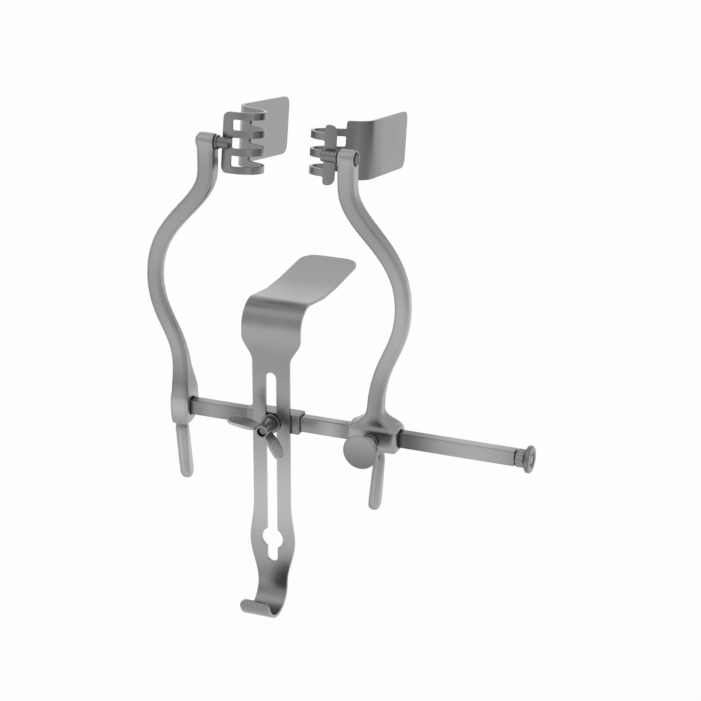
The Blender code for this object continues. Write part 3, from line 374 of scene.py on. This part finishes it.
def smooth_group():
    """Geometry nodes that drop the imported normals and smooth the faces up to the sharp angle."""
    group, start, end = geometry_group("smooth_faces")
    plain = group.nodes.new("GeometryNodeRemoveAttribute")
    plain.inputs["Name"].default_value = "custom_normal"
    faces = group.nodes.new("GeometryNodeSetShadeSmooth")
    faces.domain = "FACE"
    faces.inputs["Shade Smooth"].default_value = True
    edges = group.nodes.new("GeometryNodeSetShadeSmooth")
    edges.domain = "EDGE"
    edges.inputs["Shade Smooth"].default_value = False
    angle = group.nodes.new("GeometryNodeInputMeshEdgeAngle")
    sharp = group.nodes.new("FunctionNodeCompare")
    sharp.operation = "GREATER_THAN"
    sharp.inputs["B"].default_value = math.radians(SHARP_ANGLE)
    links = group.links
    links.new(start.outputs[0], plain.inputs["Geometry"])
    links.new(plain.outputs[0], faces.inputs["Geometry"])
    links.new(faces.outputs[0], edges.inputs["Geometry"])
    links.new(angle.outputs["Unsigned Angle"], sharp.inputs["A"])
    links.new(sharp.outputs["Result"], edges.inputs["Selection"])
    links.new(edges.outputs[0], end.inputs[0])
    return group


def join_faces(item):
    """Join the faces, which come from the pack with vertices of their own."""
    weld = item.modifiers.new("Join", "WELD")
    weld.merge_threshold = JOIN_REACH


def round_edges(item, group):
    """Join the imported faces, round their sharp edges a little and shade flat faces flat."""
    join_faces(item)
    flat = item.modifiers.new("Flat", "DECIMATE")
    flat.decimate_type = "DISSOLVE"
    flat.angle_limit = math.radians(FLAT_ANGLE)
    short = item.modifiers.new("Short", "WELD")
    short.merge_threshold = SHORT_EDGE
    edge = item.modifiers.new("Edge", "BEVEL")
    edge.width = FINE_EDGES.get(item.name, EDGE_WIDTH)
    edge.use_clamp_overlap = item.name not in FINE_EDGES
    edge.segments = EDGE_STEPS
    edge.limit_method = "ANGLE"
    edge.angle_limit = math.radians(SHARP_ANGLE)
    edge.miter_outer = "MITER_ARC"
    smooth = item.modifiers.new("Smooth", "NODES")
    smooth.node_group = group
    weighted = item.modifiers.new("Weighted", "WEIGHTED_NORMAL")
    weighted.keep_sharp = True


def stand_in(name, label):
    """A new piece from the outline of a node of the frame, which it replaces on the same body."""
    item = frame["nodes"][name]
    piece = bpy.data.objects.new(label, item.data.copy())
    bpy.context.scene.collection.objects.link(piece)
    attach(piece, body_of(item)[0])
    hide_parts(name)
    return piece


def forge_group(name, smooth):
    """Geometry nodes that swell the finger tail, and melt edges most in the foot and the tail."""
    group, start, end = geometry_group(name + "_forging")
    place = group.nodes.new("GeometryNodeInputPosition")
    normal = group.nodes.new("GeometryNodeInputNormal")
    split = group.nodes.new("ShaderNodeSeparateXYZ")
    height = split.outputs["Z"]
    links = group.links
    links.new(place.outputs[0], split.inputs[0])
    in_tail = spread(group, height, 0.0, 1.0, TAIL_TOP, TAIL_FULL)
    extra = spread(group, height, TAIL_SWELL[name], TAIL_END_SWELL, TAIL_FULL, TAIL_END)
    in_foot = spread(group, height, 0.0, FOOT_PINCH[name], PINCH_FROM, TAIL_TOP)
    kept_foot = math_node(group, "MULTIPLY", in_foot, math_node(group, "SUBTRACT", 1.0, in_tail))
    push = math_node(group, "ADD", kept_foot, math_node(group, "MULTIPLY", in_tail, extra))
    offset = group.nodes.new("ShaderNodeVectorMath")
    offset.operation = "SCALE"
    links.new(normal.outputs[0], offset.inputs[0])
    links.new(push, offset.inputs["Scale"])
    swell = group.nodes.new("GeometryNodeSetPosition")
    links.new(start.outputs[0], swell.inputs["Geometry"])
    links.new(offset.outputs[0], swell.inputs["Offset"])
    blur = group.nodes.new("GeometryNodeBlurAttribute")
    blur.data_type = "FLOAT_VECTOR"
    blur.inputs["Iterations"].default_value = FORGE_PASSES
    share = spread(group, height, 1.0, FORGE_CRISP, FORGE_SOFT_TOP, FORGE_CRISP_FROM)
    links.new(place.outputs[0], blur.inputs["Value"])
    links.new(share, blur.inputs["Weight"])
    melt = group.nodes.new("GeometryNodeSetPosition")
    links.new(swell.outputs[0], melt.inputs["Geometry"])
    links.new(blur.outputs[0], melt.inputs["Position"])
    shade = group.nodes.new("GeometryNodeGroup")
    shade.node_tree = smooth
    links.new(melt.outputs[0], shade.inputs[0])
    links.new(shade.outputs[0], end.inputs[0])
    return group


def make_forged_arm(name, smooth):
    """The arm as a drop forging: joined faces, melted edges and inner corners."""
    piece = stand_in(name, name + "_forging")
    join_faces(piece)
    skin = piece.modifiers.new("Skin", "REMESH")
    skin.mode = "VOXEL"
    skin.voxel_size = FORGE_VOXEL
    melt = piece.modifiers.new("Melt", "NODES")
    melt.node_group = forge_group(name, smooth)
    return piece


def along_line(value, knots, results):
    """Value of the broken line through the knots, and the value itself past the last."""
    for index in range(1, len(knots)):
        if value <= knots[index]:
            share = (value - knots[index - 1]) / (knots[index] - knots[index - 1])
            return results[index - 1] + (results[index] - results[index - 1]) * share
    return value


def make_slim_nut(smooth):
    """The wing nut with its hub drawn in towards the stud."""
    piece = stand_in("wing_nut", "slim_wing_nut")
    for vertex in piece.data.vertices:
        across, up = vertex.co.x - NUT_AXIS_X, vertex.co.z
        radius = math.hypot(across, up)
        factor = along_line(radius, NUT_RADII, NUT_SLIM_RADII) / radius
        vertex.co.x = NUT_AXIS_X + across * factor
        vertex.co.z = up * factor
    round_edges(piece, smooth)
    return piece


def noise(tree, vector, scale, detail):
    """Soft noise around 0.5."""
    node = add_node(tree, "ShaderNodeTexNoise", Vector=vector, Scale=scale, Detail=detail)
    return node.outputs["Fac"]


def spread(tree, value, low, high, start=0.3, end=0.7):
    """Map the value from start..end, the usual reach of the noise, to low..high."""
    node = add_node(tree, "ShaderNodeMapRange", Value=value, From_Min=start, From_Max=end,
                    To_Min=low, To_Max=high)
    return node.outputs["Result"]


def vector_node(tree, operation, first, second):
    """Result of an operation on a socket and a fixed vector."""
    node = tree.nodes.new("ShaderNodeVectorMath")
    node.operation = operation
    tree.links.new(first, node.inputs[0])
    node.inputs[1].default_value = second
    return node.outputs["Vector"]


def painted_light(tree, place, patches):
    """Painted light: tone 1, softly brighter as painted reflection and darker as painted shade
    within the reach of each patch.
    """
    tone = 1.0
    for centre, reach, change in patches:
        scaled = vector_node(tree, "DIVIDE", vector_node(tree, "SUBTRACT", place, centre), reach)
        far = dot_product(tree, scaled, scaled)
        fade = math_node(tree, "EXPONENT", math_node(tree, "MULTIPLY", far, -1.0))
        tone = math_node(tree, "MULTIPLY_ADD", fade, change, tone)
    return tone


def steel(name, grey, rough, grain, strength, patches):
    """Satin steel: cloudy grey, fine grain in colour, gloss and relief, brighter worn edges, and
    painted reflections and shade from the patches.
    """
    material = bpy.data.materials.new(name)
    material.use_nodes = True
    tree = material.node_tree
    shader = tree.nodes["Principled BSDF"]
    shader.inputs["Metallic"].default_value = 1.0
    place = tree.nodes.new("ShaderNodeTexCoord").outputs["Object"]
    cloud = noise(tree, place, CLOUD_SCALE, CLOUD_DETAIL)
    mapping = add_node(tree, "ShaderNodeMapping", Vector=place, Scale=grain)
    fine = noise(tree, mapping.outputs[0], 1.0, GRAIN_DETAIL)

    rounded = tree.nodes.new("ShaderNodeBevel")
    rounded.samples = WEAR_SAMPLES
    rounded.inputs["Radius"].default_value = WEAR_REACH
    shape = tree.nodes.new("ShaderNodeNewGeometry")
    turn = dot_product(tree, rounded.outputs[0], shape.outputs["Normal"])
    wear = spread(tree, turn, 1.0, 0.0, WEAR_FULL, WEAR_NONE)
    patchy = math_node(tree, "MULTIPLY", wear, spread(tree, cloud, *CLOUD_WEAR))

    tone = math_node(tree, "ADD", spread(tree, cloud, *CLOUD_TONES),
                     spread(tree, fine, -GRAIN_TONE, GRAIN_TONE))
    tone = math_node(tree, "MULTIPLY_ADD", patchy, WEAR_TONE, tone)
    level = math_node(tree, "MULTIPLY", tone, grey)
    # Painted light: the patches lighten the grey for painted reflections and highlights and darken
    # it for painted shade.
    if patches:
        level = math_node(tree, "MULTIPLY", level, painted_light(tree, place, patches))
    colour = add_node(tree, "ShaderNodeCombineColor", Red=level, Green=level, Blue=level)
    tree.links.new(colour.outputs[0], shader.inputs["Base Color"])

    low, high = CLOUD_GLOSS
    gloss = math_node(tree, "ADD", spread(tree, cloud, rough + low, rough + high),
                      spread(tree, fine, -GRAIN_GLOSS, GRAIN_GLOSS))
    gloss = math_node(tree, "MULTIPLY_ADD", patchy, WEAR_GLOSS, gloss)
    tree.links.new(gloss, shader.inputs["Roughness"])

    bump = add_node(tree, "ShaderNodeBump", Strength=strength, Distance=GRAIN_DEPTH, Height=fine,
                    Normal=rounded.outputs[0])
    tree.links.new(bump.outputs[0], shader.inputs["Normal"])
    return material


def dress_nodes():
    """Give each node its edges and its steel; a piece that replaces a node takes them instead."""
    smooth = smooth_group()
    for name, item in frame["nodes"].items():
        # Each grey is partly painted light and shade, partly the steel's own tone.
        grey, rough, grain, strength = FINISHES_WITH_PAINTED_LIGHT[name]
        material = steel(name + "_steel", grey, rough, grain, strength, PAINTED_LIGHT_PATCHES.get(name, ()))
        for place in item.material_slots:
            place.material = material
        if name in FORGED:
            piece = make_forged_arm(name, smooth)
        elif name == "wing_nut":
            piece = make_slim_nut(smooth)
        else:
            round_edges(item, smooth)
            continue
        piece.data.materials.clear()
        piece.data.materials.append(material)


bpy.context.scene.view_settings.view_transform = "Standard"
make_camera()
make_world()
make_floor()
dress_nodes()
